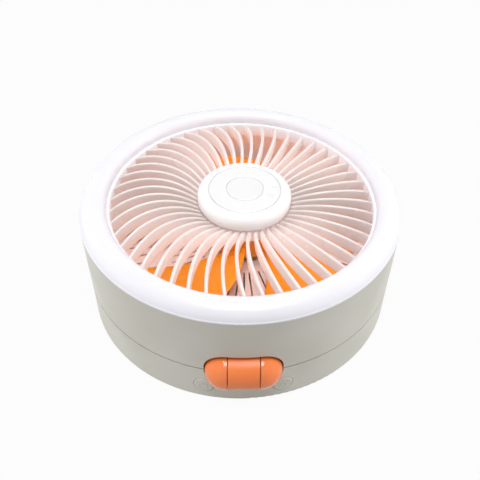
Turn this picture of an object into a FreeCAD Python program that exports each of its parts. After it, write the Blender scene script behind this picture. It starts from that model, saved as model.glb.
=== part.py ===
import FreeCAD
import Part

import math
import os

import Sketcher

# Folding camping fan: a flat drum whose upper half, the fan head, folds up about the
# orange hinge at its front. Millimetres, +Z up, origin under the middle of the four feet,
# front (hinge and keys) towards -Y.

SHEET = "Dims"

SIZES = [
    ("drum_radius", 99, "outside radius of the drum at the seam"),
    ("head_flare", 0.9, "how much wider the head is at its top"),
    ("base_draft", 0.3, "how much narrower the base is at its foot"),
    ("wall", 2.4, "thickness of the outer walls"),
    ("floor", 2.4, "thickness of the base floor"),
    ("foot_drop", 1, "height of the base over the table"),
    ("foot_round", 1.6, "rounding round the foot of the base"),
    ("seam_height", 29, "height of the seam and of the hinge axis"),
    ("seam_gap", 0.6, "gap between base and head"),
    ("head_top", 73, "height of the top edge of the head wall"),
    ("ring_top", 81.8, "height of the light ring's crest"),
    ("ring_bulge", 11, "radius of the light ring's outer curve"),
    ("ring_inner_bulge", 5, "radius of the light ring's inner curve"),
    ("ring_skin", 2, "thickness of the light ring"),
    ("ring_lip", 0.15, "how far the bead at the light ring's foot stands out"),
    ("rim_radius", 82, "radius of the opening inside the grille rim"),
    ("rim_width", 2, "width of the grille rim's bead inside the light ring"),
    ("rim_top", 74.7, "height of the grille rim's bead"),
    ("barrel_radius", 12.2, "radius of the hinge barrel"),
    ("barrel_half", 22.5, "half the length of the hinge barrel"),
    ("hinge_back", 96, "distance of the hinge axis in front of the middle"),
    ("knuckle_half", 9, "half the length of the middle knuckle"),
    ("knuckle_gap", 0.6, "gap between two knuckles"),
    ("pin_radius", 3, "radius of the hinge pin"),
    ("pin_half", 17, "half the length of the hinge pin"),
    ("head_recess_gap", 0.5, "gap between barrel and head"),
    ("head_recess_rise", 2.4, "how much higher than the barrel the head's recess reaches"),
    ("base_recess_gap", 0.6, "gap between barrel and base"),
    ("recess_wall", 1.2, "thickness of the walls behind the barrel"),
    ("key_angle", 13.8, "angle of each key from the front, in degrees"),
    ("key_height", 13, "height of the keys' middles"),
    ("key_radius", 5.9, "radius of a key"),
    ("key_gap", 0.3, "gap round a key"),
    ("key_travel", 0.8, "travel of a key"),
    ("dome_radius", 53, "radius of the arc along the top of each rib"),
    ("dome_foot_radius", 62, "radius of the arc along the foot of each rib"),
    ("dome_peak", 56, "distance from the middle at which the ribs are highest"),
    ("dome_top", 81.5, "height of the ribs at that place"),
    ("rib_count", 48, "number of grille ribs"),
    ("rib_depth", 9, "depth of a rib"),
    ("rib_width", 1.95, "thickness of a rib"),
    ("rib_bend", 84, "radius of a rib's bend, seen from above"),
    ("rib_reach", 43.6, "distance at which a rib runs straight outwards"),
    ("rib_shift", 1.24, "how far the first rib runs beside the middle line"),
    ("cap_radius", 29.2, "radius of the cap in the middle of the grille"),
    ("cap_foot", 75.3, "height of the cap's lower rim"),
    ("cap_top", 84.3, "height of the cap's flat top"),
    ("cap_round", 5.2, "rounding of the cap's shoulder"),
    ("cap_skin", 1.8, "thickness of the cap"),
    ("inlay_radius", 22.1, "radius of the plate let into the cap"),
    ("badge_radius", 11.3, "radius of the disc in the middle of that plate"),
    ("groove", 0.35, "width of the grooves round those two"),
    ("rear_grille_height", 37, "height of the rear grille's underside"),
    ("rear_grille_thick", 1.8, "thickness of the rear grille"),
    ("rear_slot_count", 60, "slots in each ring of the rear grille"),
    ("duct_radius", 86.5, "inside radius of the duct"),
    ("duct_wall", 2, "thickness of the duct"),
    ("duct_top", 65.8, "height of the top of the duct"),
    ("cup_radius", 26, "outside radius of the motor cup"),
    ("hub_radius", 21.2, "radius of the impeller hub"),
    ("hub_foot", 44, "height of the hub's lower edge"),
    ("hub_top", 62, "height of the hub's top"),
    ("tip_radius", 79, "radius of the blade tips"),
    ("blade_count", 5, "number of blades"),
    ("blade_low", 41.5, "height of a blade's leading edge"),
    ("blade_high", 53.5, "height of a blade's trailing edge"),
    ("blade_thick", 1.8, "height of a blade's section"),
    ("shaft_radius", 1.5, "radius of the motor shaft"),
    ("cell_radius", 9.2, "radius of a battery cell"),
    ("cell_length", 65, "length of a battery cell"),
    ("cell_pitch", 19, "distance between two cells"),
    ("board_thick", 1.6, "thickness of a circuit board"),
    ("screw_radius", 1.4, "radius of a screw's thread"),
    ("screw_head", 2.8, "radius of a screw's head"),
    ("clearance", 0.3, "gap between pieces that move past each other"),
]

DOC = FreeCAD.newDocument("fan")
X_AXIS = FreeCAD.Vector(1, 0, 0)
Y_AXIS = FreeCAD.Vector(0, 1, 0)
Z_AXIS = FreeCAD.Vector(0, 0, 1)
ORIGIN = FreeCAD.Vector(0, 0, 0)
UPRIGHT = FreeCAD.Rotation()
ALONG_X = FreeCAD.Rotation(Y_AXIS, 90)
TO_FRONT = FreeCAD.Rotation(X_AXIS, 90)
PLENTY = 400


class Size:
    """A length from the sheet, or a sum built from such lengths, as value and expression."""

    def __init__(self, value, text):
        self.value = float(value)
        self.text = text

    def joined(self, other, sign, value):
        other_text = other.text if isinstance(other, Size) else repr(other)
        return Size(value, "(%s %s %s)" % (self.text, sign, other_text))

    def __add__(self, other):
        return self.joined(other, "+", self.value + plain(other))

    def __radd__(self, other):
        return self + other

    def __sub__(self, other):
        return self.joined(other, "-", self.value - plain(other))

    def __rsub__(self, other):
        return -self + other

    def __mul__(self, other):
        return self.joined(other, "*", self.value * plain(other))

    def __truediv__(self, other):
        return self.joined(other, "/", self.value / plain(other))

    def __neg__(self):
        return Size(-self.value, "(-1 * %s)" % self.text)


def plain(length):
    """The value of a length in millimetres."""
    return length.value if isinstance(length, Size) else float(length)


def make_sheet():
    """The spreadsheet of driving dimensions, and a Size for each of them."""
    sheet = DOC.addObject("Spreadsheet::Sheet", SHEET)
    table = {}
    for row, (alias, value, meaning) in enumerate(SIZES, start=1):
        sheet.set("A%d" % row, meaning)
        sheet.set("B%d" % row, str(value))
        sheet.setAlias("B%d" % row, alias)
        table[alias] = Size(value, "%s.%s" % (SHEET, alias))
    DOC.recompute()
    return table


D = make_sheet()


def bind(thing, field, length):
    """Drive one property from the sheet, or set it when it is a plain number."""
    if isinstance(length, Size):
        thing.setExpression(field, length.text)
    else:
        thing.setExpression(field, repr(float(length)))


def move_to(thing, place, turn=UPRIGHT):
    """Place an object by three lengths and a rotation."""
    thing.Placement = FreeCAD.Placement(ORIGIN, turn)
    for letter, length in zip("xyz", place):
        bind(thing, "Placement.Base." + letter, length)
    return thing


def turn_about_z(thing, degrees):
    """Turn a finished object about the drum's axis."""
    thing.Placement = FreeCAD.Placement(ORIGIN, FreeCAD.Rotation(Z_AXIS, plain(degrees)))
    bind(thing, "Placement.Rotation.Angle", degrees)
    return thing


def cylinder(name, radius, length, place=(0, 0, 0), turn=UPRIGHT):
    thing = DOC.addObject("Part::Cylinder", name)
    bind(thing, "Radius", radius)
    bind(thing, "Height", length)
    return move_to(thing, place, turn)


def sphere(name, radius, place):
    thing = DOC.addObject("Part::Sphere", name)
    bind(thing, "Radius", radius)
    return move_to(thing, place)


def box(name, along, deep, high, place, turn=UPRIGHT):
    thing = DOC.addObject("Part::Box", name)
    bind(thing, "Length", along)
    bind(thing, "Width", deep)
    bind(thing, "Height", high)
    return move_to(thing, place, turn)


def fuse(name, pieces):
    thing = DOC.addObject("Part::MultiFuse", name)
    thing.Shapes = pieces
    return thing


def common(name, pieces):
    thing = DOC.addObject("Part::MultiCommon", name)
    thing.Shapes = pieces
    return thing


def cut(name, piece, tools):
    """Piece less its tools."""
    thing = DOC.addObject("Part::Cut", name)
    thing.Base = piece
    thing.Tool = tools[0] if len(tools) == 1 else compound(name + "_tools", tools)
    return thing


def compound(name, pieces):
    thing = DOC.addObject("Part::Compound", name)
    thing.Links = pieces
    return thing


def tube(name, outer, inner, length, place, turn=UPRIGHT):
    """A ring or sleeve between two radii."""
    body = cylinder(name + "_outside", outer, length, place, turn)
    bore = cylinder(name + "_bore", inner, length, place, turn)
    return cut(name, body, [bore])


def copies(name, piece, placements):
    """Links to one piece, made at the origin, at each placement."""
    links = []
    for number, placement in enumerate(placements, start=1):
        link = DOC.addObject("App::Link", "%s_%d" % (name, number))
        link.LinkedObject = piece
        link.LinkTransform = True
        link.Placement = placement
        links.append(link)
    return links


def around(count, first=0.0, place=ORIGIN, turn=UPRIGHT):
    """Placements evenly spaced round Z, each first shifted by place and turned by turn."""
    start = FreeCAD.Placement(place, turn)
    step = 360.0 / count
    spins = [FreeCAD.Rotation(Z_AXIS, first + step * i) for i in range(count)]
    return [FreeCAD.Placement(ORIGIN, spin).multiply(start) for spin in spins]


def polar(radius, degrees, height):
    """A point at an angle from the front, counted towards +X."""
    turn = math.radians(degrees)
    return FreeCAD.Vector(radius * math.sin(turn), -radius * math.cos(turn), height)


def new_body(name, plane):
    """A body with one sketch on one of its own origin planes."""
    body = DOC.addObject("PartDesign::Body", name)
    sketch = body.newObject("Sketcher::SketchObject", name + "_sketch")
    place_sketch(body, sketch, plane)
    return body, sketch


def place_sketch(body, sketch, plane):
    planes = [item for item in body.Origin.OriginFeatures if item.Role == plane]
    sketch.AttachmentSupport = (planes[0], [""])
    sketch.MapMode = "FlatFace"


def corner(across, up, keep="both"):
    """A corner of an outline; keep names the coordinates that the sheet fixes."""
    return ("corner", across, up, keep)


def arc(across, up, radius=None):
    """The centre of the arc that joins the corners before and after it."""
    return ("arc", across, up, radius)


def split_outline(steps):
    """Corners of an outline, and the arc that leaves each of them, or None."""
    corners = [step for step in steps if step[0] == "corner"]
    arcs = []
    for place, step in enumerate(steps):
        if step[0] == "corner":
            follower = steps[(place + 1) % len(steps)]
            arcs.append(follower if follower[0] == "arc" else None)
    return corners, arcs


def flat_point(step):
    return FreeCAD.Vector(plain(step[1]), plain(step[2]), 0)


def add_edge(sketch, start, end, bend):
    """Add a line or an arc; return it with the positions of its start and end."""
    first, last = flat_point(start), flat_point(end)
    if bend is None:
        return sketch.addGeometry(Part.LineSegment(first, last), False), 1, 2
    centre = flat_point(bend)
    from_centre, to_centre = first - centre, last - centre
    angles = [math.atan2(way.y, way.x) for way in (from_centre, to_centre)]
    circle = Part.Circle(centre, Z_AXIS, from_centre.Length)
    if from_centre.cross(to_centre).z > 0:
        return sketch.addGeometry(Part.ArcOfCircle(circle, angles[0], angles[1]), False), 1, 2
    return sketch.addGeometry(Part.ArcOfCircle(circle, angles[1], angles[0]), False), 2, 1


def fix(sketch, edge, position, axis, length):
    """Hold one coordinate of a sketch point at a length from the sheet."""
    if plain(length) == 0:
        line = -2 if axis == "X" else -1
        sketch.addConstraint(Sketcher.Constraint("PointOnObject", edge, position, line))
        return
    rule = Sketcher.Constraint("Distance" + axis, -1, 1, edge, position, plain(length))
    number = sketch.addConstraint(rule)
    if isinstance(length, Size):
        sketch.setExpression("Constraints[%d]" % number, length.text)


def outline(sketch, steps):
    """Draw a closed outline of corners and arcs and fix it to the sheet."""
    corners, arcs = split_outline(steps)
    count = len(corners)
    edges = []
    for place, here in enumerate(corners):
        edges.append(add_edge(sketch, here, corners[(place + 1) % count], arcs[place]))
    for place, (edge, start, end) in enumerate(edges):
        follower = edges[(place + 1) % count]
        joint = Sketcher.Constraint("Coincident", edge, end, follower[0], follower[1])
        sketch.addConstraint(joint)
        across, up, keep = corners[place][1:]
        if keep in ("both", "across"):
            fix(sketch, edge, start, "X", across)
        if keep in ("both", "up"):
            fix(sketch, edge, start, "Y", up)
        if arcs[place] is not None:
            centre_across, centre_up, radius = arcs[place][1:]
            fix(sketch, edge, 3, "X", centre_across)
            fix(sketch, edge, 3, "Y", centre_up)
            if radius is not None:
                rule = Sketcher.Constraint("Radius", edge, plain(radius))
                number = sketch.addConstraint(rule)
                sketch.setExpression("Constraints[%d]" % number, radius.text)


def turned(name, steps):
    """A body made by turning an outline, across and up, about the drum's axis."""
    body, sketch = new_body(name, "XZ_Plane")
    outline(sketch, steps)
    spin = body.newObject("PartDesign::Revolution", name + "_turned")
    spin.Profile = sketch
    spin.ReferenceAxis = (sketch, ["V_Axis"])
    spin.Angle = 360
    return body


def rectangle(low_across, high_across, low_up, high_up):
    """The four corners of an upright rectangle."""
    return [
        corner(low_across, low_up),
        corner(high_across, low_up),
        corner(high_across, high_up),
        corner(low_across, high_up),
    ]


def barrel(name, radius, half, rise=0):
    """A capsule along the hinge axis, or rise above it: a cylinder with a ball on each end."""
    straight = D["barrel_half"] - D["barrel_radius"]
    height = D["seam_height"] + rise
    middle = cylinder(name + "_middle", radius, straight * 2,
                      (-straight, -D["hinge_back"], height), ALONG_X)
    balls = []
    for side, word in ((-1, "left"), (1, "right")):
        place = (straight * side, -D["hinge_back"], height)
        balls.append(sphere(name + "_" + word, radius, place))
    whole = fuse(name + "_whole", [middle] + balls)
    limits = box(name + "_limits", half * 2, PLENTY, PLENTY,
                 (-half, -D["hinge_back"] - PLENTY / 2, D["seam_height"] - PLENTY / 2))
    return common(name, [whole, limits])


def screw(name, length, head_high=1.9):
    """A cross-head screw, head down, the underside of the head at the origin."""
    head = cylinder(name + "_head", D["screw_head"], head_high, (0, 0, -head_high))
    thread = cylinder(name + "_thread", D["screw_radius"], length, (0, 0, 0))
    solid = fuse(name + "_solid", [head, thread])
    slot_wide, slot_long, slot_deep = 0.7, 3.2, 1.1
    bottom = -head_high - 0.1
    slots = [
        box(name + "_slot_a", slot_long, slot_wide, slot_deep,
            (-slot_long / 2, -slot_wide / 2, bottom)),
        box(name + "_slot_b", slot_wide, slot_long, slot_deep,
            (-slot_wide / 2, -slot_long / 2, bottom)),
    ]
    return cut(name, solid, slots)


UPSIDE_DOWN = FreeCAD.Rotation(X_AXIS, 180)
FEET_AT = 80
FOOT_ANGLES = (35, 145, 215, 325)
BASE_SCREWS_AT = 84
REAR_PAD = 4.0
REAR_SEAT = 2.1
BASE_SCREW_ANGLES = (62, 118, 242, 298)
FRONT_SCREWS_AT = 93.6
FRONT_SCREW_ANGLES = (40, 140, 220, 320)
REAR_SCREWS_AT = 91.2
REAR_SCREW_ANGLES = (70, 160, 200, 290)
DECK_HEIGHT = 24.8
DECK_THICK = 2.0
COUNTERBORE_TOP = 11.0
PILLAR_TOP = 14.0
LUG_AT = 14.0
LUG_WIDTH = 7.0
LUG_BACK = 72.0
LUG_LOW = 18.0
LUG_HIGH = 22.0
LUG_SCREW_Y = -76.5
ARM_FRONT = 94.8
ARM_THICK = 3.2
ARM_HALF = 7.0
ARM_TOP = 58.0
ARM_SCREW_HEIGHT = 52.0
LEAD_SIDE = 12.0
LEAD_HEIGHT = 34.2
CELL_ROWS = (-1.5, -0.5, 0.5, 1.5)
CELLS_MIDDLE = 8.5
CELL_HEIGHT = 14.2
BOARD_HEIGHT = 8.6
BOARD_FRONT = 59.0
BOARD_BACK = 92.6
BOARD_HALF = 20.0
SOCKET_HALF = 4.5
SOCKET_HIGH = 3.2
SWITCH_BOARD_AT = 86.0
SWITCH_SIZE = 6.0
LED_COUNT = 40
LED_AT = 88.45
LED_BOARD_LOW = 68.0


def head_foot():
    """Height of the head's underside."""
    return plain(D["seam_height"]) + plain(D["seam_gap"]) / 2


def round_places(radius, angles, height, turn=UPRIGHT):
    """Placements on a circle at angles from the front."""
    return [FreeCAD.Placement(polar(radius, angle, plain(height)), turn) for angle in angles]


def base_outline():
    """The base's cup: rounded foot, slightly drafted wall, flat floor."""
    foot = D["drum_radius"] - D["base_draft"]
    low = D["foot_drop"]
    inner = D["drum_radius"] - D["wall"]
    rim = D["seam_height"] - D["seam_gap"] / 2
    return [
        corner(0, low),
        corner(foot - D["foot_round"], low),
        arc(foot - D["foot_round"], low + D["foot_round"]),
        corner(foot, low + D["foot_round"], keep="up"),
        corner(D["drum_radius"], rim),
        corner(inner, rim),
        corner(inner, low + D["floor"]),
        corner(0, low + D["floor"]),
    ]


def head_room(name, extra):
    """The head's room for the barrel, wider all round by extra: two capsules, one raised."""
    radius = D["barrel_radius"] + D["head_recess_gap"] + extra
    half = D["barrel_half"] + PLENTY
    return fuse(name, [
        barrel(name + "_low", radius, half),
        barrel(name + "_high", radius, half, D["head_recess_rise"]),
    ])


def recess_wall(name, room, low, high):
    """The wall behind the hinge barrel, kept inside the drum between two heights."""
    drum = cylinder(name + "_drum", D["drum_radius"] - D["wall"] / 2, high - low, (0, 0, low))
    return common(name, [room, drum])


def key_tools(name, radius, start, reach, height):
    """A cylinder along each key's own axis, from start outwards for reach."""
    tools = []
    for side, word in ((-1, "left"), (1, "right")):
        label = name + "_" + word
        rod = cylinder(label + "_rod", radius, reach, (0, -start, height), TO_FRONT)
        tools.append(turn_about_z(compound(label, [rod]), D["key_angle"] * side))
    return tools


def base_shell():
    """Lower half of the drum: cup, barrel recess, screw pillars, holes for keys and socket."""
    cup = turned("base_cup", base_outline())
    floor_top = D["foot_drop"] + D["floor"]
    rim = D["seam_height"] - D["seam_gap"] / 2
    thick = barrel("base_barrel_wall",
                   D["barrel_radius"] + D["base_recess_gap"] + D["recess_wall"],
                   D["barrel_half"] + PLENTY)
    recess = recess_wall("base_recess_wall", thick, floor_top - 1, rim)
    pillar = cylinder("base_pillar", 4.6, PILLAR_TOP - 2, (0, 0, 0))
    pillars = copies("base_pillar_at", pillar,
                     round_places(BASE_SCREWS_AT, BASE_SCREW_ANGLES, 2))
    post = cylinder("lug_post", 4, LUG_LOW - 2.0, (0, 0, 0))
    posts = copies("lug_post_at", post,
                   [FreeCAD.Placement(FreeCAD.Vector(side * LUG_AT, LUG_SCREW_Y, 2), UPRIGHT)
                    for side in (-1, 1)])
    board_post = cylinder("board_post", 3, BOARD_HEIGHT - 2, (0, 0, 0))
    board_posts = copies("board_post_at", board_post,
                         [FreeCAD.Placement(FreeCAD.Vector(x, y, 2), UPRIGHT)
                          for x in (-16, 16) for y in (63, 84)])
    solid = fuse("base_solid", [cup, recess] + pillars + posts + board_posts)
    hollow = barrel("base_barrel_room", D["barrel_radius"] + D["base_recess_gap"],
                    D["barrel_half"] + PLENTY)
    drill = cylinder("base_screw_hole", D["screw_radius"] + 0.15, PILLAR_TOP + 1, (0, 0, 0))
    wide = cylinder("base_counterbore", D["screw_head"] + 0.3, COUNTERBORE_TOP, (0, 0, 0))
    drills = copies("base_screw_hole_at", drill,
                    round_places(BASE_SCREWS_AT, BASE_SCREW_ANGLES, 0))
    wides = copies("base_counterbore_at", wide,
                   round_places(BASE_SCREWS_AT, BASE_SCREW_ANGLES, 0))
    foot_room = cylinder("foot_room", 7.1, D["foot_drop"] + 0.8, (0, 0, 0))
    foot_rooms = copies("foot_room_at", foot_room, round_places(FEET_AT, FOOT_ANGLES, 0))
    lug_drill = cylinder("lug_pilot", D["screw_radius"] + 0.02, LUG_LOW, (0, 0, 0))
    lug_drills = copies("lug_pilot_at", lug_drill,
                        [FreeCAD.Placement(FreeCAD.Vector(side * LUG_AT, LUG_SCREW_Y, 6),
                                           UPRIGHT) for side in (-1, 1)])
    slots = []
    for side, word in ((-1, "left"), (1, "right")):
        slots.append(box("lug_slot_" + word, LUG_WIDTH + 0.4, 20, LUG_HIGH - LUG_LOW + 0.4,
                         (side * LUG_AT - LUG_WIDTH / 2 - 0.2, -D["hinge_back"] + 2,
                          LUG_LOW - 0.2)))
    holes = key_tools("key_hole", D["key_radius"] + D["key_gap"], D["drum_radius"] - 5, 10,
                      D["key_height"])
    holes += key_tools("key_room", D["key_radius"] + 0.9, D["drum_radius"] - 12, 9,
                       D["key_height"])
    port = box("port_hole", SOCKET_HALF * 2 + 0.6, 10, SOCKET_HIGH + 0.6,
               (-SOCKET_HALF - 0.3, D["drum_radius"] - 6,
                BOARD_HEIGHT + D["board_thick"] - 0.3))
    return cut("base_shell", solid, [hollow, port] + drills + wides + foot_rooms
               + lug_drills + slots + holes)


def base_deck():
    """Flat lid of the base, with the barrel's bay cut out of its front edge."""
    edge = D["drum_radius"] - D["wall"] - D["clearance"]
    plate = turned("deck_plate", [
        corner(0, DECK_HEIGHT),
        corner(edge, DECK_HEIGHT),
        corner(edge, DECK_HEIGHT + DECK_THICK),
        corner(edge - 8, DECK_HEIGHT + DECK_THICK),
        corner(edge - 9, DECK_HEIGHT + DECK_THICK - 0.6),
        corner(0, DECK_HEIGHT + DECK_THICK - 0.6),
    ])
    boss = cylinder("deck_boss", 4.2, DECK_HEIGHT - PILLAR_TOP + 0.5, (0, 0, 0))
    bosses = copies("deck_boss_at", boss,
                    round_places(BASE_SCREWS_AT, BASE_SCREW_ANGLES, PILLAR_TOP))
    pilot = cylinder("deck_pilot", D["screw_radius"] + 0.02, 9.5, (0, 0, 0))
    pilots = copies("deck_pilot_at", pilot,
                    round_places(BASE_SCREWS_AT, BASE_SCREW_ANGLES, PILLAR_TOP - 1))
    bay = barrel("deck_bay",
                 D["barrel_radius"] + D["base_recess_gap"] + D["recess_wall"] + D["clearance"],
                 D["barrel_half"] + PLENTY)
    solid = fuse("deck_solid", [plate] + bosses)
    return cut("base_deck", solid, pilots + [bay])


def base_screws():
    """Four screws from below that hold the deck to the base."""
    model = screw("base_screw", 11)
    return compound("base_screws", copies("base_screw_at", model, round_places(
        BASE_SCREWS_AT, BASE_SCREW_ANGLES, COUNTERBORE_TOP)))


def chamfered(name, piece, size, chosen):
    """A chamfer along the edges of a piece that a test on each edge picks."""
    DOC.recompute()
    rims = [number for number, edge in enumerate(piece.Shape.Edges, start=1) if chosen(edge)]
    if not rims:
        raise ValueError("no edge to chamfer on " + name)
    thing = DOC.addObject("Part::Chamfer", name)
    thing.Base = piece
    thing.Edges = [(number, size, size) for number in rims]
    return thing


def rubber_feet():
    """Four rubber pads let into the floor."""
    pad = cylinder("foot_pad", 6.9, D["foot_drop"] + 0.7, (0, 0, 0))
    softened = chamfered("foot_model", pad, 0.4,
                         lambda edge: edge.CenterOfMass.z < 0.01 and edge.Length > 20)
    return compound("rubber_feet", copies("foot_at", softened,
                                          round_places(FEET_AT, FOOT_ANGLES, 0)))


def battery_cells():
    """Four round cells side by side, each with its raised end cap."""
    can = cylinder("cell_can", D["cell_radius"], D["cell_length"] - 1, (0, 0, 0))
    cap = cylinder("cell_cap", 3, 1.2, (0, 0, D["cell_length"] - 1.2))
    model = fuse("cell_model", [can, cap])
    half = plain(D["cell_length"]) / 2
    spots = []
    for row in CELL_ROWS:
        y = CELLS_MIDDLE + row * plain(D["cell_pitch"])
        spots.append(FreeCAD.Placement(FreeCAD.Vector(-half, y, CELL_HEIGHT), ALONG_X))
    return compound("battery_cells", copies("cell_at", model, spots))


def battery_holder():
    """Tray on the base floor with a half-round bed for each cell."""
    floor_top = D["foot_drop"] + D["floor"]
    length = D["cell_length"] + 5
    width = D["cell_pitch"] * len(CELL_ROWS) + 3
    tray = box("holder_block", length, width, 9.5,
               (-length / 2, -width / 2 + CELLS_MIDDLE, floor_top))
    beds = []
    for number, row in enumerate(CELL_ROWS, start=1):
        beds.append(cylinder("holder_bed_%d" % number, D["cell_radius"] + 0.1,
                             D["cell_length"] + 1.2,
                             (-(D["cell_length"] + 1.2) / 2,
                              D["cell_pitch"] * row + CELLS_MIDDLE, CELL_HEIGHT), ALONG_X))
    return cut("battery_holder", tray, beds)


def nickel_strips():
    """Welded strips that join the cells at both ends."""
    strips = []
    wide = D["cell_pitch"] * 3 + 8
    for side, word in ((-1, "left"), (1, "right")):
        face = D["cell_length"] / 2 + 0.05
        across = face if side > 0 else -face - 0.25
        strips.append(box("strip_" + word, 0.25, wide, 4.2,
                          (across, -wide / 2 + CELLS_MIDDLE, CELL_HEIGHT - 1.1)))
    return compound("nickel_strips", strips)


def power_board():
    """Circuit board behind the cells, under the charging socket."""
    return box("power_board", BOARD_HALF * 2, BOARD_BACK - BOARD_FRONT, D["board_thick"],
               (-BOARD_HALF, BOARD_FRONT, BOARD_HEIGHT))


def board_parts():
    """Coil, capacitors and chips on the power board."""
    top = D["board_thick"] + BOARD_HEIGHT
    pieces = [
        box("coil_block", 8, 8, 5, (-15, 66, top)),
        box("chip_large", 6, 6, 1, (-2, 68, top)),
        box("chip_small", 4, 3, 1, (8, 63, top)),
        cylinder("capacitor_a", 3, 7, (14, 72, top)),
        cylinder("capacitor_b", 3, 7, (14, 80, top)),
    ]
    return compound("board_parts", pieces)


def usb_socket():
    """Charging socket: a flattened metal shell round a thin tongue."""
    top = D["board_thick"] + BOARD_HEIGHT
    back = D["drum_radius"] - 1.6
    depth = 7.4
    body = box("socket_body", SOCKET_HALF * 2, depth, SOCKET_HIGH,
               (-SOCKET_HALF, back - depth, top))
    room = box("socket_room", SOCKET_HALF * 2 - 0.8, depth, SOCKET_HIGH - 0.8,
               (-SOCKET_HALF + 0.4, back - depth + 1, top + 0.4))
    shell = cut("socket_shell", body, [room])
    tongue = box("socket_tongue", 6.6, 5, 0.7, (-3.3, back - depth + 0.5, top + 1.25))
    return fuse("usb_socket", [shell, tongue])


def switch_boards():
    """A small upright board behind each key."""
    boards = []
    for side, word in ((-1, "left"), (1, "right")):
        plate = box("switch_plate_" + word, 11, 1.2, 9.5,
                    (-5.5, -SWITCH_BOARD_AT, D["key_height"] - 5.5))
        boards.append(turn_about_z(compound("switch_board_" + word, [plate]),
                                   D["key_angle"] * side))
    return compound("switch_boards", boards)


def tact_switches():
    """A push switch on each of those boards, its plunger behind the key."""
    half = SWITCH_SIZE / 2
    switches = []
    for side, word in ((-1, "left"), (1, "right")):
        case = box("switch_case_" + word, SWITCH_SIZE, 3.4, SWITCH_SIZE,
                   (-half, -SWITCH_BOARD_AT - 3.4, D["key_height"] - half))
        plunger = cylinder("switch_plunger_" + word, 1.7, 1.2,
                           (0, -SWITCH_BOARD_AT - 3.3, D["key_height"]), TO_FRONT)
        whole = fuse("switch_whole_" + word, [case, plunger])
        switches.append(turn_about_z(whole, D["key_angle"] * side))
    return compound("tact_switches", switches)


def key(side, word):
    """One round key: a cap flush with the wall, a collar behind it and a short stem."""
    face = D["drum_radius"] + 0.1
    inner = D["drum_radius"] - D["wall"] - 0.7
    cap = cylinder("key_cap_" + word, D["key_radius"], face - inner,
                   (0, -inner, D["key_height"]), TO_FRONT)
    collar = cylinder("key_collar_" + word, D["key_radius"] + 0.5, 1,
                      (0, -inner + 1, D["key_height"]), TO_FRONT)
    tip = D["key_travel"] + 0.15 + SWITCH_BOARD_AT + 3.4 + 1.1
    stem = cylinder("key_stem_" + word, 2.2, inner - 0.5 - tip,
                    (0, -tip, D["key_height"]), TO_FRONT)
    whole = fuse("key_whole_" + word, [cap, collar, stem])
    front = -plain(face) + 0.01
    softened = chamfered("key_" + word, whole, 0.4,
                         lambda edge: edge.CenterOfMass.y < front and edge.Length > 20)
    return turn_about_z(softened, D["key_angle"] * side)


def hinge_end(side, word):
    """An outer knuckle: the rounded end of the barrel and the lug that holds it down."""
    label = "hinge_" + word
    inner = D["knuckle_half"] + D["knuckle_gap"]
    capsule = barrel(label + "_barrel", D["barrel_radius"], D["barrel_half"] + 1)
    keep = box(label + "_keep", PLENTY, PLENTY, PLENTY,
               (inner if side > 0 else -inner - PLENTY, -PLENTY / 2 - 96, -PLENTY / 2))
    end = common(label + "_end", [capsule, keep])
    lug = box(label + "_lug", LUG_WIDTH, D["hinge_back"] - 2 - LUG_BACK, LUG_HIGH - LUG_LOW,
              (side * LUG_AT - LUG_WIDTH / 2, -D["hinge_back"] + 2, LUG_LOW))
    solid = fuse(label + "_solid", [end, lug])
    bore = cylinder(label + "_bore", D["pin_radius"] + 0.01, D["pin_half"] * 2 + 0.2,
                    (-D["pin_half"] - 0.1, -D["hinge_back"], D["seam_height"]), ALONG_X)
    drill = cylinder(label + "_drill", D["screw_radius"] + 0.15, 20,
                     (side * LUG_AT, LUG_SCREW_Y, LUG_LOW - 5))
    return cut(label, solid, [bore, drill])


def hinge_middle():
    """The middle knuckle, which turns with the head, and the plate that carries it."""
    capsule = barrel("hinge_middle_barrel", D["barrel_radius"], D["knuckle_half"])
    low = D["seam_height"] + 8
    arm = box("hinge_arm", ARM_HALF * 2, ARM_THICK, -low + ARM_TOP,
              (-ARM_HALF, -ARM_FRONT, low))
    solid = fuse("hinge_middle_solid", [capsule, arm])
    bore = cylinder("hinge_middle_bore", D["pin_radius"] + 0.05, D["pin_half"] * 2,
                    (-D["pin_half"], -D["hinge_back"], D["seam_height"]), ALONG_X)
    drills = [cylinder("arm_drill_" + word, D["screw_radius"] + 0.15, 20,
                       (side * 4, -ARM_FRONT + 10, ARM_SCREW_HEIGHT), TO_FRONT)
              for side, word in ((-1, "left"), (1, "right"))]
    return cut("hinge_middle", solid, [bore] + drills)


def hinge_pin():
    """Steel pin through all three knuckles."""
    return cylinder("hinge_pin", D["pin_radius"], D["pin_half"] * 2,
                    (-D["pin_half"], -D["hinge_back"], D["seam_height"]), ALONG_X)


def hinge_washers():
    """Thin friction washers beside the middle knuckle, nearly as wide as the barrel."""
    thick = 0.25
    radius = D["barrel_radius"] - 0.5
    start = D["knuckle_half"] + D["knuckle_gap"]
    rings = []
    for side, word in ((-1, "left"), (1, "right")):
        across = start - thick if side > 0 else -start
        rings.append(tube("washer_" + word, radius, D["pin_radius"] + 0.05, thick,
                          (across, -D["hinge_back"], D["seam_height"]), ALONG_X))
    return compound("hinge_washers", rings)


def hinge_screws():
    """Two screws that hold the lugs down on their posts."""
    model = screw("lug_screw", 11)
    spots = [FreeCAD.Placement(FreeCAD.Vector(side * LUG_AT, LUG_SCREW_Y, LUG_HIGH),
                               UPSIDE_DOWN) for side in (-1, 1)]
    return compound("hinge_screws", copies("lug_screw_at", model, spots))


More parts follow.
